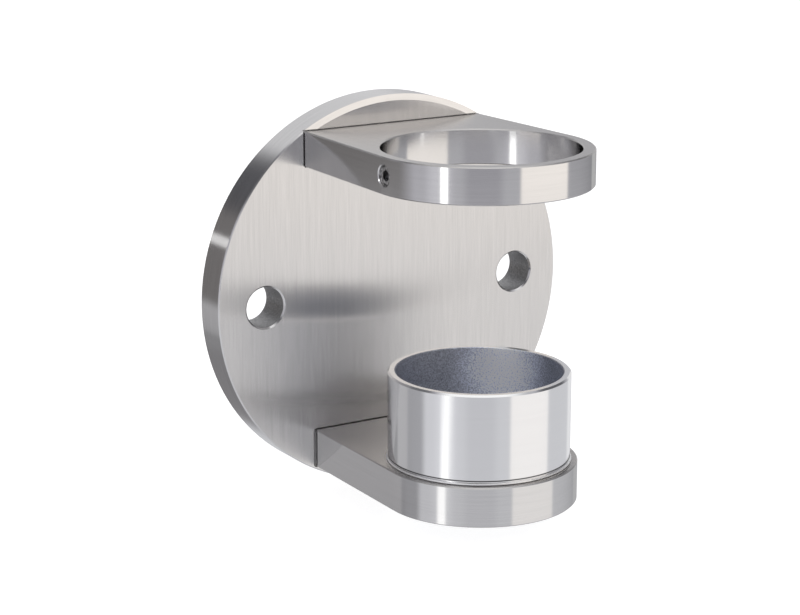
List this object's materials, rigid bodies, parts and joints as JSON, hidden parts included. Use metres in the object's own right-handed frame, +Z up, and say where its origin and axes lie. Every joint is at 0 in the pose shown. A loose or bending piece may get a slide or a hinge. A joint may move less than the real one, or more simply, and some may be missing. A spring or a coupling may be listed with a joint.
{
  "type": "fascia-mounted rail bracket",
  "caption": "Round wall plate with two arms that hold the foot of a round rail post: a ring it drops through and a spigot it stands over.",
  "frame": {"origin": "centre of the wall plate's back face, which lies on the fascia", "axes": "+Z up along the rail post, +Y into the wall, so the arms reach towards -Y"},
  "size_m": [0.1014, 0.0771, 0.1014],
  "materials": {
    "plate_steel": "stainless steel, brushed face and polished rim",
    "arm_steel": "stainless steel, finely ground",
    "spigot_steel": "stainless steel, polished outside and rough inside",
    "weld_steel": "stainless weld, ground flush",
    "screw_steel": "stainless steel, as turned"
  },
  "bodies": {
    "root": {"base_plate": "plate_steel", "upper_arm": "arm_steel", "lower_arm": "arm_steel", "spigot": "spigot_steel", "set_screw": "screw_steel", "upper_tenon_weld": "weld_steel", "lower_tenon_weld": "weld_steel", "spigot_weld": "weld_steel"}
  },
  "joints": []
}
